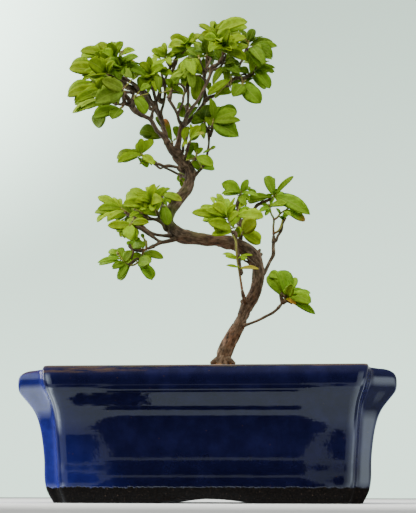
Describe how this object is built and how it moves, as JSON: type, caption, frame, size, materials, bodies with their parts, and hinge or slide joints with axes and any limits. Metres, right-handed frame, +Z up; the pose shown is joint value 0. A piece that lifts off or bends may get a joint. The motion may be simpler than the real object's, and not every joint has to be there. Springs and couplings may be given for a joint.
{
  "type": "potted bonsai tree",
  "caption": "Small azalea bonsai with an S-bent trunk and sparse leafy shoots, planted in a blue glazed rectangular pot with indented corners and an arched foot.",
  "frame": {"origin": "centre of the pot's footprint on the surface it stands on, at the bottom centre of the whole object's bounding box", "axes": "+X along the pot's long side, to the right seen from the front; -Y towards the front of the tree; +Z up"},
  "size_m": [0.203, 0.15, 0.3022],
  "materials": {
    "glaze": "gloss",
    "soil": "matte, granular",
    "bark": "rough bark",
    "leaf_spring": "soft satin, bright young leaf",
    "leaf_leaf": "soft satin, grown leaf",
    "leaf_pale": "matte, pale underside showing",
    "leaf_deep": "soft satin, darker shaded leaf"
  },
  "bodies": {
    "root": {"pot": "glaze", "soil": "soil", "wood": "bark", "crown_left_top": "leaf_spring", "crown_left_inner": "leaf_leaf", "crown_left_middle": "leaf_spring", "crown_left_low": "leaf_spring", "crown_left_face": "leaf_pale", "crown_left_tip": "leaf_pale", "crown_left_hanging": "leaf_leaf", "crown_middle_left": "leaf_spring", "crown_middle": "leaf_spring", "crown_middle_top": "leaf_spring", "crown_top_left": "leaf_spring", "crown_inner": "leaf_deep", "crown_middle_right": "leaf_spring", "crown_middle_stem": "leaf_pale", "crown_hanging_right": "leaf_leaf", "crown_fork_left": "leaf_leaf", "crown_behind_fork": "leaf_leaf", "crown_top": "leaf_spring", "crown_right_top": "leaf_deep", "crown_right": "leaf_leaf", "crown_right_low": "leaf_leaf", "crown_right_hanging": "leaf_leaf", "crown_right_inner": "leaf_deep", "crown_arm_leaf": "leaf_spring", "middle_right": "leaf_leaf", "middle_left": "leaf_deep", "middle_low": "leaf_spring", "middle_short": "leaf_leaf", "middle_thin": "leaf_leaf", "leaf_far_left": "leaf_deep", "leaf_limb_top": "leaf_leaf", "leaf_dark_narrow": "leaf_deep", "leaf_orange_tip": "leaf_spring", "leaf_centre": "leaf_leaf", "twig_left_rosette": "leaf_spring", "leaf_trunk_left": "leaf_leaf", "low_left_far": "leaf_spring", "low_left_under": "leaf_spring", "low_left_stem": "leaf_spring", "low_left_crown": "leaf_spring", "low_left_right": "leaf_spring", "low_left_hanging": "leaf_leaf", "low_left_bottom": "leaf_leaf", "front_shoot": "leaf_spring", "right_cluster_arm": "leaf_spring", "right_cluster_low": "leaf_spring", "right_upper": "leaf_leaf", "right_outer": "leaf_leaf", "right_stem": "leaf_leaf", "right_low": "leaf_leaf", "back_right_rosette": "leaf_deep", "back_left_rosette": "leaf_deep", "back_left_top": "leaf_deep", "back_low_rosette": "leaf_deep", "back_cluster_rosette": "leaf_deep", "back_arm_rosette": "leaf_deep"}
  },
  "joints": []
}
